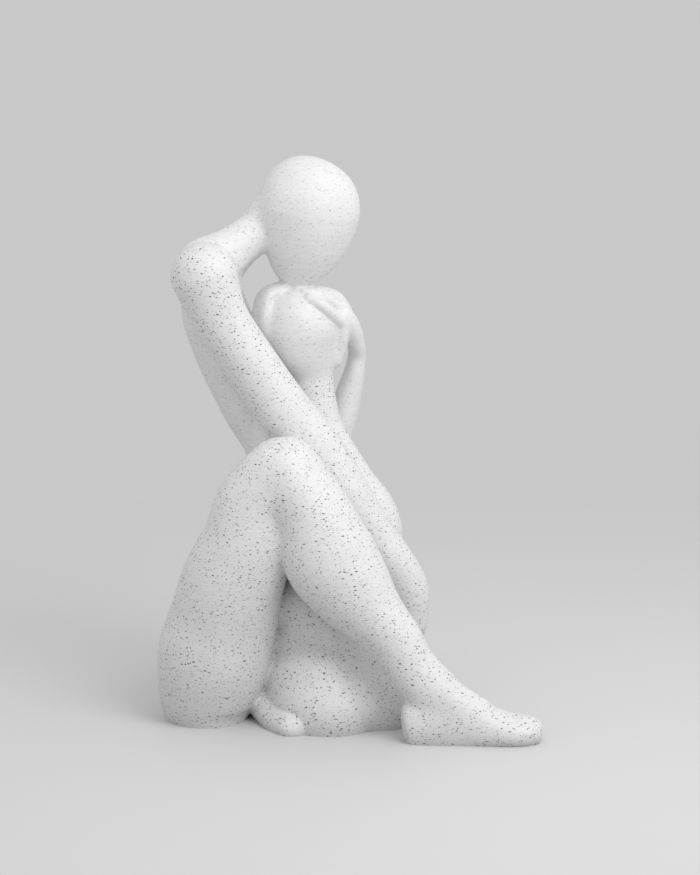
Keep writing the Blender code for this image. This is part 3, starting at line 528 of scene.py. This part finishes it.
def draw_left_leg(bm):
    """The far leg, folded flat on the ground, with its foot between the seat and the dog."""
    shin = between(FAR_KNEE, FAR_ANKLE)
    foot = between(FAR_ANKLE, FAR_TOE)
    outward = Vector((0.0015, 0.0015, 0))
    instep = Vector((-0.0005, 0, 0.0005))
    add_loft(bm, [
        ring(FAR_HIP, FAR_THIGH_RADIUS * 1.12, FAR_THIGH_RADIUS),
        ring(mix(FAR_HIP, FAR_KNEE, 0.5) + outward, FAR_THIGH_RADIUS, FAR_THIGH_RADIUS * 0.97),
        ring(FAR_KNEE, FAR_THIGH_RADIUS * 0.78),
    ], side=UP)
    add_loft(bm, [
        ring(FAR_KNEE, FAR_THIGH_RADIUS * 0.74),
        ring(shin(0.35), FAR_SHIN_RADIUS * 1.06),
        ring(shin(0.75), FAR_SHIN_RADIUS * 0.84),
        ring(FAR_ANKLE, FAR_SHIN_RADIUS * 0.76),
        ring(foot(0.40) + instep, FAR_SHIN_RADIUS * 0.84, FAR_SHIN_RADIUS * 0.72),
        ring(foot(0.74) + Vector((0.0004, -0.0012, -0.0008)), FAR_SHIN_RADIUS * 0.84, FAR_SHIN_RADIUS * 0.64),
        ring(FAR_TOE + Vector((0, -0.0012, 0)), FAR_SHIN_RADIUS * 0.62, FAR_SHIN_RADIUS * 0.52),
    ], side=UP)


def draw_dog_body(bm):
    """The neck, the chest and the back down to the rump."""
    flank = between(CHEST, RUMP)
    add_loft(bm, [
        ring(DOG_NAPE + Vector((-0.0010, 0, 0.0030)), DOG_NECK_RADIUS * 0.9),
        ring(DOG_NAPE + Vector((-0.0004, 0, -0.0060)), DOG_NECK_RADIUS * 0.95),
        ring(mix(DOG_NAPE, DOG_THROAT, 0.53) + Vector((-0.0007, 0, 0)), DOG_NECK_RADIUS * 0.94),
        ring(DOG_THROAT, DOG_NECK_RADIUS * 1.10),
        ring(WITHERS + Vector((-0.0012, 0, 0)), DOG_CHEST_RADIUS * 0.84, DOG_CHEST_RADIUS * 0.90),
        ring(CHEST + Vector((0.0008, 0, 0)), DOG_CHEST_RADIUS * 1.01, DOG_CHEST_RADIUS * 1.04),
        ring(flank(0.25) - RIGHT * 0.0018, DOG_RUMP_RADIUS * 1.04, DOG_RUMP_RADIUS * 0.98),
        ring(flank(0.55) - RIGHT * 0.0024, DOG_RUMP_RADIUS * 1.12, DOG_RUMP_RADIUS),
        ring(flank(0.85), DOG_RUMP_RADIUS * 0.98, DOG_RUMP_RADIUS * 1.15),
        ring(RUMP, DOG_RUMP_RADIUS * 0.9, DOG_RUMP_RADIUS * 1.12),
    ], side=AHEAD, end=0.4)
    draw_dog_flank(bm)


def draw_dog_flank(bm):
    """The swell beside the person's thigh, and the one that fills the back down to the person's heel."""
    add_ball(bm, Vector((-0.0125, -0.0115, 0.0290)), 0.0080, 0.0080, 0.0105)
    add_ball(bm, RUMP + Vector((0.0040, -0.0070, 0.0065)), 0.0095, 0.0115, 0.0110)


def draw_dog_head(bm):
    """The skull, the muzzle against the person's chest, and the nape."""
    add_ball(bm, SKULL, SKULL_RADIUS, SKULL_RADIUS, SKULL_HEIGHT / 2)
    brow = SKULL + AHEAD * 0.0045 - RIGHT * 0.0022 + UP * 0.0030
    muzzle = SKULL + AHEAD * (SKULL_RADIUS * 0.5) - UP * 0.0005
    add_loft(bm, [
        ring(brow, SKULL_RADIUS * 0.72, SKULL_RADIUS * 0.66),
        ring(muzzle + AHEAD * MUZZLE_LENGTH * 0.45, MUZZLE_RADIUS * 1.2, MUZZLE_RADIUS * 1.1),
        ring(muzzle + AHEAD * MUZZLE_LENGTH, MUZZLE_RADIUS, MUZZLE_RADIUS * 0.9),
    ], side=UP)
    add_loft(bm, [
        ring(SKULL - UP * SKULL_HEIGHT * 0.15, SKULL_RADIUS * 0.92),
        ring(mix(SKULL, DOG_NAPE, 0.50) - UP * 0.0038, SKULL_RADIUS * 0.82),
        ring(DOG_NAPE + Vector((-0.0002, -0.0002, -0.0047)), DOG_NECK_RADIUS * 0.97),
    ], end=0.6)


def draw_ear(bm, places):
    """A floppy ear that hangs down the side of the skull."""
    joints = [SKULL + Vector(place) * SKULL_RADIUS for place in places]
    outward = (joints[2] - SKULL).to_2d().to_3d()
    widths = (0.0042, 0.0054, 0.0056, 0.0034)
    thicknesses = (0.65, 0.65, 0.60, 0.50)
    rings = []
    for joint, wide, deep in zip(joints, widths, thicknesses):
        rings.append(ring(joint, wide, EAR_THICKNESS * deep))
    add_loft(bm, rings, side=outward)


def draw_hind_leg(bm, outward):
    """A haunch and its paw. Outward is 1 on the dog's right and -1 on its left."""
    haunch = RUMP + RIGHT * outward * HAUNCH_WIDTH * 0.25 + UP * 0.0085
    add_ball(bm, haunch, HAUNCH_WIDTH / 2, HAUNCH_LENGTH / 2, HAUNCH_HEIGHT - haunch.z)
    base = haunch - UP * 0.0035 - AHEAD * 0.0022
    add_ball(bm, base, HAUNCH_WIDTH / 2 + 0.0004, HAUNCH_LENGTH / 2 + 0.0008, haunch.z * 1.7)
    add_ball(bm, RUMP + RIGHT * outward * 0.0105 + AHEAD * 0.0040 + UP * 0.0195, 0.0075, 0.0075, 0.0075)
    paw = RUMP + RIGHT * outward * HAUNCH_WIDTH * 0.34 + UP * HIND_PAW_RADIUS * 0.75
    add_loft(bm, [
        ring(paw + AHEAD * HAUNCH_LENGTH * 0.1, HIND_PAW_RADIUS),
        ring(paw + AHEAD * HAUNCH_LENGTH * 0.55, HIND_PAW_RADIUS, HIND_PAW_RADIUS * 0.9),
        ring(paw + AHEAD * HAUNCH_LENGTH * 0.66, HIND_PAW_RADIUS * 1.1, HIND_PAW_RADIUS * 0.85),
    ], side=UP)


def draw_foreleg(bm, outward):
    """A straight foreleg and its paw. Outward is 1 on the dog's right and -1 on its left."""
    wrist_height = 0.0090
    shoulder = CHEST + AHEAD * 0.0062 + RIGHT * outward * 0.0062 + UP * 0.0030
    elbow = CHEST + AHEAD * 0.0080 + RIGHT * outward * 0.0062 - UP * 0.0160
    wrist = elbow + AHEAD * 0.0012 + Vector((0, 0, wrist_height - elbow.z))
    paw = wrist + AHEAD * 0.0015 - UP * (wrist_height - FORELEG_RADIUS * 0.7)
    add_loft(bm, [
        ring(shoulder, FORELEG_RADIUS * 1.7, FORELEG_RADIUS * 1.9),
        ring(mix(shoulder, elbow, 0.5), FORELEG_RADIUS * 1.55, FORELEG_RADIUS * 1.7),
        ring(elbow, FORELEG_RADIUS * 1.15, FORELEG_RADIUS * 1.2),
        ring(wrist, FORELEG_RADIUS * 0.9),
    ], side=AHEAD)
    add_loft(bm, [
        ring(wrist, FORELEG_RADIUS * 0.88),
        ring(paw, FORELEG_RADIUS, FORELEG_RADIUS * 0.9),
        ring(paw + AHEAD * FORELEG_RADIUS * 1.1, FORELEG_RADIUS * 1.05, FORELEG_RADIUS * 0.8),
    ], side=RIGHT)


def draw_tail(bm):
    """A tail that lies on the ground round the back of the right haunch."""
    rings = []
    haunch = RUMP + RIGHT * HAUNCH_WIDTH * 0.25
    for step, turn in enumerate((-62, -35, -8, 16)):
        angle = math.radians(turn)
        across = (HAUNCH_WIDTH / 2 + TAIL_RADIUS * 0.7) * math.cos(angle)
        along = (HAUNCH_LENGTH / 2 + TAIL_RADIUS * 0.7) * math.sin(angle)
        radius = TAIL_RADIUS * (1.1 - 0.12 * step)
        rings.append(ring(haunch + RIGHT * across + AHEAD * along + UP * radius * 0.8, radius))
    add_loft(bm, rings, side=UP)


def from_bmesh(name, bm):
    mesh = bpy.data.meshes.new(name)
    bm.to_mesh(mesh)
    bm.free()
    obj = bpy.data.objects.new(name, mesh)
    bpy.context.scene.collection.objects.link(obj)
    return obj


def baked(obj):
    """The object with its modifiers applied."""
    graph = bpy.context.evaluated_depsgraph_get()
    mesh = bpy.data.meshes.new_from_object(obj.evaluated_get(graph), depsgraph=graph)
    obj.modifiers.clear()
    old = obj.data
    obj.data = mesh
    bpy.data.meshes.remove(old)
    return obj


def drawn(forms):
    """The closed lofts of all the forms. The material number of each face is the number of its form."""
    together = bmesh.new()
    for number, draw in enumerate(forms.values()):
        bm = bmesh.new()
        draw(bm)
        bmesh.ops.recalc_face_normals(bm, faces=bm.faces)
        for face in bm.faces:
            face.material_index = number
        mesh = bpy.data.meshes.new("form")
        bm.to_mesh(mesh)
        bm.free()
        together.from_mesh(mesh)
        bpy.data.meshes.remove(mesh)
    return together


def skin(name, bm, whose):
    """One fine skin over the lofts, softened a little all over and much more where forms flow together."""
    obj = from_bmesh(name, bm)
    remesh = obj.modifiers.new("skin", "REMESH")
    remesh.mode = "VOXEL"
    remesh.voxel_size = FINE
    remesh.adaptivity = 0
    soften(obj, SOFT_ROUNDS)
    baked(obj)
    keep_main_body(obj)
    group = obj.vertex_groups.new(name="flowing")
    for vert in obj.data.vertices:
        share = flowing_share(vert.co, whose)
        if share > 0:
            group.add([vert.index], share * share * (3 - 2 * share), "REPLACE")
    soften(obj, FLOWING_ROUNDS, group.name)
    return baked(obj)


def flowing_share(place, whose):
    """How near a place is to the spots that soften its own person or dog: 1 at a spot, 0 out of reach."""
    shares = {"person": 0, "dog": 0}
    for owner, spot, reach in FLOWING:
        shares[owner] = max(shares[owner], 1 - (place - spot).length / reach)
    return shares[whose(place)] if max(shares.values()) > 0 else 0


def keep_main_body(obj):
    """Drop the closed bubbles that a skin can leave inside itself."""
    bm = bmesh.new()
    bm.from_mesh(obj.data)
    bodies = sorted(patches(bm.faces, lambda face, other: True), key=len)
    spare = {vert for body in bodies[:-1] for face in body for vert in face.verts}
    if spare:
        bmesh.ops.delete(bm, geom=list(spare), context="VERTS")
        bm.to_mesh(obj.data)
    bm.free()


def patches(faces, together):
    """Group the faces that hang together edge to edge. A group grows while it is walked."""
    seen = set()
    groups = []
    for first in faces:
        if first in seen:
            continue
        group = [first]
        seen.add(first)
        for face in group:
            for other in beside(face):
                if other not in seen and together(face, other):
                    seen.add(other)
                    group.append(other)
        groups.append(group)
    return groups


def soften(obj, rounds, group=""):
    modifier = obj.modifiers.new("soften", "SMOOTH")
    modifier.factor = 0.5
    modifier.iterations = rounds
    modifier.vertex_group = group


def divide(whole, tree, owners, names):
    """Divide the skin into a closed piece for each form, by the form that each face lies nearest to."""
    bm = bmesh.new()
    bm.from_mesh(whole.data)
    for face in bm.faces:
        face.material_index = owners[tree.find_nearest(face.calc_center_median())[2]]
    for _ in range(BORDER_ROUNDS):
        even_border(bm)
    absorb_islands(bm)
    whole.data.materials.clear()
    for name in names:
        whole.data.materials.append(speckled("speckled_" + name, FLECK_STRENGTHS.get(name, FLECK_STRENGTH)))
    bm.to_mesh(whole.data)
    bm.free()
    bpy.ops.object.select_all(action="DESELECT")
    whole.select_set(True)
    bpy.context.view_layer.objects.active = whole
    bpy.ops.mesh.separate(type="MATERIAL")
    pieces = {}
    for obj in list(bpy.context.selected_objects):
        name = obj.data.materials[0].name.removeprefix("speckled_")
        obj.name = "fine_" + name
        turn_in(obj)
        pieces[name] = obj
    return pieces


def beside(face):
    return [other for edge in face.edges for other in edge.link_faces if other is not face]


def even_border(bm):
    """Give each face on a border to the form that most of the faces beside it belong to."""
    border = {}
    for edge in bm.edges:
        one, other = edge.link_faces
        if one.material_index != other.material_index:
            border[one] = border[other] = True
    changes = []
    for face in border:
        owners = [other.material_index for other in beside(face)]
        most = max(owners, key=owners.count)
        if most != face.material_index and owners.count(most) > len(owners) / 2:
            changes.append((face, most))
    for face, most in changes:
        face.material_index = most


def absorb_islands(bm):
    """Keep the largest patch of each form, and give its other patches to the form around them."""
    by_form = {}
    for patch in patches(bm.faces, lambda face, other: face.material_index == other.material_index):
        by_form.setdefault(patch[0].material_index, []).append(patch)
    for number, group in by_form.items():
        group.sort(key=len)
        for patch in group[:-1]:
            around = [other.material_index for face in patch for other in beside(face)]
            around = [other for other in around if other != number]
            most = max(around, key=around.count)
            for face in patch:
                face.material_index = most


def turn_in(obj):
    """Turn the open border of a piece inwards by a skirt, and cap it inside the print."""
    bm = bmesh.new()
    bm.from_mesh(obj.data)
    border = [edge for edge in bm.edges if edge.is_boundary]
    # The new verts start where the old ones are, so each finds its own direction by its place.
    inward = {tuple(vert.co): -vert.normal for edge in border for vert in edge.verts}
    if border:
        skirt = bmesh.ops.extrude_edge_only(bm, edges=border)["geom"]
        for vert in (item for item in skirt if isinstance(item, bmesh.types.BMVert)):
            vert.co += inward[tuple(vert.co)] * SKIRT
        close(bm)
    bm.to_mesh(obj.data)
    bm.free()


def close(bm):
    """Fill every open border, and turn all faces outwards."""
    border = [edge for edge in bm.edges if edge.is_boundary]
    filled = bmesh.ops.holes_fill(bm, edges=border, sides=0)["faces"]
    bmesh.ops.triangulate(bm, faces=filled)
    bmesh.ops.recalc_face_normals(bm, faces=bm.faces)


def stand(obj, move):
    """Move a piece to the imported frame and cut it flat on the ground."""
    bm = bmesh.new()
    bm.from_mesh(obj.data)
    bmesh.ops.translate(bm, verts=bm.verts, vec=move)
    lowest = min(vert.co.z for vert in bm.verts)
    if lowest < 0:
        everything = [*bm.verts, *bm.edges, *bm.faces]
        bmesh.ops.bisect_plane(bm, geom=everything, plane_co=(0, 0, 0), plane_no=(0, 0, 1), clear_inner=True)
        close(bm)
    bm.to_mesh(obj.data)
    bm.free()


class Paint:
    """The nodes of a material or of the world."""

    def __init__(self, owner):
        owner.use_nodes = True
        self.tree = owner.node_tree

    def node(self, kind, settings=None, sockets=None):
        """A node with its settings made first, and then the values or links of its sockets."""
        node = self.tree.nodes.new("ShaderNode" + kind)
        for name, value in (settings or {}).items():
            setattr(node, name, value)
        for name, value in (sockets or {}).items():
            self.feed(node.inputs[name], value)
        return node

    def feed(self, socket, value):
        if isinstance(value, Value):
            value = value.socket
        if isinstance(value, bpy.types.NodeSocket):
            self.tree.links.new(value, socket)
        else:
            socket.default_value = value

    def value(self, node, output=0):
        return Value(self, node.outputs[output])


class Value:
    """A number that varies over the surface. Maths on it adds Math nodes."""

    def __init__(self, paint, socket):
        self.paint = paint
        self.socket = socket

    def math(self, operation, one, other):
        return self.paint.value(self.paint.node("Math", {"operation": operation}, {0: one, 1: other}))

    def __add__(self, other):
        return self.math("ADD", self, other)

    def __sub__(self, other):
        return self.math("SUBTRACT", self, other)

    def __rsub__(self, other):
        return self.math("SUBTRACT", other, self)

    def __mul__(self, other):
        return self.math("MULTIPLY", self, other)

    __radd__ = __add__
    __rmul__ = __mul__

    def larger(self, other):
        return self.math("MAXIMUM", self, other)

    def step(self, low, high):
        """0 below low, 1 above high and smooth between them."""
        settings = {"interpolation_type": "SMOOTHSTEP"}
        sockets = {"Value": self, "From Min": low, "From Max": high}
        return self.paint.value(self.paint.node("MapRange", settings, sockets))


def scaled(paint, scale, offset=(0, 0, 0), turn=(0, 0, 0)):
    """Object coordinates in millimetres times a scale, then turned."""
    sockets = {"Vector": paint.node("TexCoord").outputs["Object"], "Location": offset, "Rotation": turn}
    sockets["Scale"] = tuple(MILLIMETRE * each for each in scale)
    return paint.node("Mapping", None, sockets).outputs[0]


def noise(paint, scale, detail=2.0, offset=(0, 0, 0)):
    """Smooth noise. The offset keeps two noises of one scale apart."""
    sockets = {"Vector": scaled(paint, scale, offset), "Scale": 1.0, "Detail": detail, "Roughness": 0.55}
    return paint.value(paint.node("TexNoise", None, sockets))


def flecks(paint, cell, share, widest, offset):
    """A fleck in a share of the cells, each of its own size and darkness, and about twice as long as tall."""
    around = scaled(paint, (0.7, 0.7, 1.2), offset)
    wobble = paint.node("TexNoise", None, {"Vector": around, "Scale": 1.0, "Detail": 2.0})
    place = paint.node("VectorMath", {"operation": "MULTIPLY_ADD"}, {
        0: wobble.outputs["Color"],
        1: FLECK_WOBBLE,
        2: scaled(paint, (1 / cell, 1 / cell, FLECK_FLATNESS / cell), offset, FLECK_TURN),
    })
    cells = paint.node("TexVoronoi", {"feature": "F1"}, {"Vector": place.outputs[0], "Scale": 1.0})
    chances = paint.node("SeparateColor", None, {"Color": cells.outputs["Color"]})
    chance = paint.value(chances, 0)
    depth = paint.value(chances, 1)
    radius = (chance - (1 - share)) * (widest / share)
    inside = (radius - paint.value(cells, "Distance")).step(*FLECK_EDGE)
    return inside * (depth * (1 - PALEST_FLECK) + PALEST_FLECK)


def mixed_colour(paint, share, one, other):
    return paint.node("Mix", {"data_type": "RGBA"}, {0: share, 6: one, 7: other}).outputs[2]


def speckled(name, strength):
    """Matte white with black and grey flecks, faint layer streaks and slow clouds."""
    material = bpy.data.materials.new(name)
    paint = Paint(material)
    shader = paint.tree.nodes["Principled BSDF"]
    coarse = flecks(paint, 0.92, 0.80, 0.42, (3.1, 7.7, 1.3))
    small = flecks(paint, 0.60, 0.64, 0.40, (11.2, 2.9, 5.4)) * 0.70
    dark = coarse.larger(small) * strength
    streaks = noise(paint, (0.14, 0.14, 2.2))
    clouds = noise(paint, (0.10, 0.10, 0.16), 3.0)
    blotches = noise(paint, (0.55, 0.55, 0.9), 3.0, (4.0, 8.0, 2.0)).step(0.55, 0.75)
    shade = (streaks - 0.5) * 0.62 + (clouds - 0.5) * 0.45 + blotches * 0.18 + 0.16
    stone = mixed_colour(paint, shade, STONE_WHITE, STONE_GREY)
    paint.feed(shader.inputs["Base Color"], mixed_colour(paint, dark, stone, FLECK_GREY))
    paint.feed(shader.inputs["Roughness"], (clouds - 0.5) * 0.25 + 0.55)
    layers = noise(paint, (0.10, 0.10, 2.4), 1.0, (5.0, 2.0, 9.0))
    bump = paint.node("Bump", None, {"Strength": 0.5, "Distance": 0.00010, "Height": layers})
    paint.feed(shader.inputs["Normal"], bump.outputs[0])
    return material


def finish(obj, node):
    """Shade a piece, hang it on the frame and let it stand for its node."""
    obj.data.shade_smooth()
    obj.data.set_sharp_from_angle(angle=SHARP_ANGLE)
    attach(obj, "root")
    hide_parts(node)


FORMS = {
    "person_head": draw_head,
    "person_torso": draw_torso,
    "right_arm": draw_right_arm,
    "left_arm": draw_left_arm,
    "right_leg": draw_right_leg,
    "left_leg": draw_left_leg,
    "dog_body": draw_dog_body,
    "dog_head": draw_dog_head,
    "dog_left_ear": lambda bm: draw_ear(bm, LEFT_EAR),
    "dog_right_ear": lambda bm: draw_ear(bm, RIGHT_EAR),
    "dog_left_hind_leg": lambda bm: draw_hind_leg(bm, -1),
    "dog_right_hind_leg": lambda bm: draw_hind_leg(bm, 1),
    "dog_left_foreleg": lambda bm: draw_foreleg(bm, -1),
    "dog_right_foreleg": lambda bm: draw_foreleg(bm, 1),
    "dog_tail": draw_tail,
}


def sculpture():
    """The pieces by the nodes that they stand for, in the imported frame, and the move to that frame."""
    bm = drawn(FORMS)
    tree = BVHTree.FromBMesh(bm)
    owners = [face.material_index for face in bm.faces]
    names = list(FORMS)

    def whose(place):
        return "dog" if names[owners[tree.find_nearest(place)[2]]].startswith("dog") else "person"

    whole = skin("sculpture", bm, whose)
    shift = shift_to_frame(whole)
    pieces = divide(whole, tree, owners, names)
    for piece in pieces.values():
        stand(piece, shift)
    return pieces, shift


def shift_to_frame(whole):
    """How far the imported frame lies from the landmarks' frame, read off the middle of the whole in both."""
    corners = [vert.co for vert in whole.data.vertices]
    middle = [(min(co[axis] for co in corners) + max(co[axis] for co in corners)) / 2 for axis in range(2)]
    low, high = CAD_BOX
    return Vector(((low[0] + high[0]) / 2 - middle[0], (low[1] + high[1]) / 2 - middle[1], 0))


def seen_rays(paint):
    """1 for what the camera sees, in glossy and clear surfaces too, and 0 for the light on the object."""
    rays = paint.node("LightPath")
    seen = paint.value(rays, "Is Camera Ray")
    for kind in ("Is Glossy Ray", "Is Transmission Ray"):
        seen = seen.larger(paint.value(rays, kind))
    return seen


def stage():
    """A pale floor that fades into an equally pale backdrop, and throws little light up on the object."""
    bm = bmesh.new()
    bmesh.ops.create_circle(bm, cap_ends=True, segments=96, radius=FLOOR_RADIUS)
    floor = from_bmesh("floor", bm)
    material = bpy.data.materials.new("pale_floor")
    paint = Paint(material)
    shader = paint.tree.nodes["Principled BSDF"]
    shade = mixed_colour(paint, seen_rays(paint), FLOOR_BOUNCE, FLOOR_COLOUR)
    paint.feed(shader.inputs["Base Color"], shade)
    paint.feed(shader.inputs["Roughness"], 0.6)
    reach = paint.node("VectorMath", {"operation": "LENGTH"}, {0: paint.node("TexCoord").outputs["Object"]})
    fade = paint.value(reach, "Value").step(FADE_START, FADE_END)
    clear = paint.node("BsdfTransparent")
    mixed = paint.node("MixShader", None, {0: fade, 1: shader.outputs[0], 2: clear.outputs[0]})
    paint.feed(paint.tree.nodes["Material Output"].inputs["Surface"], mixed.outputs[0])
    floor.data.materials.append(material)


def lamp(name, turn, height, power):
    """A round soft lamp that points at the sculpture."""
    turn, height = math.radians(turn), math.radians(height)
    away = Vector((math.sin(turn) * math.cos(height), -math.cos(turn) * math.cos(height), math.sin(height)))
    data = bpy.data.lights.new(name, "AREA")
    data.shape = "DISK"
    data.size = LAMP_SIZE
    data.energy = power
    obj = bpy.data.objects.new(name, data)
    obj.location = Vector((0, 0, LAMP_AIM_HEIGHT)) + away * LAMP_DISTANCE
    obj.rotation_euler = (-away).to_track_quat("-Z", "Y").to_euler()
    bpy.context.scene.collection.objects.link(obj)


def light():
    """A soft lamp from the upper right with two weak ones beside it, and a white world seen as pale grey."""
    world = bpy.data.worlds.new("studio")
    paint = Paint(world)
    soft = paint.tree.nodes["Background"]
    paint.feed(soft.inputs["Color"], (1, 1, 1, 1))
    paint.feed(soft.inputs["Strength"], SOFT_LIGHT)
    seen = paint.node("Background", None, {"Color": BACKDROP_COLOUR})
    mixed = paint.node("MixShader", None, {0: seen_rays(paint), 1: soft.outputs[0], 2: seen.outputs[0]})
    paint.feed(paint.tree.nodes["World Output"].inputs["Surface"], mixed.outputs[0])
    bpy.context.scene.world = world
    for name, (turn, height, power) in LAMPS.items():
        lamp(name, turn, height, power)


def camera(shift):
    """The photo's view of the sculpture."""
    data = bpy.data.cameras.new("camera")
    data.sensor_width = SENSOR
    data.lens = FOCAL_PIXELS / PHOTO_HEIGHT_PIXELS * SENSOR
    data.clip_start = 0.01
    obj = bpy.data.objects.new("camera", data)
    aim = Vector((0, 0, CAMERA_AIM_HEIGHT)) + shift
    away = Vector((0, -math.cos(CAMERA_ELEVATION), math.sin(CAMERA_ELEVATION)))
    obj.location = aim + away * CAMERA_DISTANCE
    obj.rotation_euler = (-away).to_track_quat("-Z", "Y").to_euler()
    bpy.context.scene.collection.objects.link(obj)
    bpy.context.scene.camera = obj


def main():
    pieces, shift = sculpture()
    for node, piece in pieces.items():
        finish(piece, node)
    stage()
    light()
    camera(shift)
    bpy.context.scene.view_settings.view_transform = "Standard"


main()
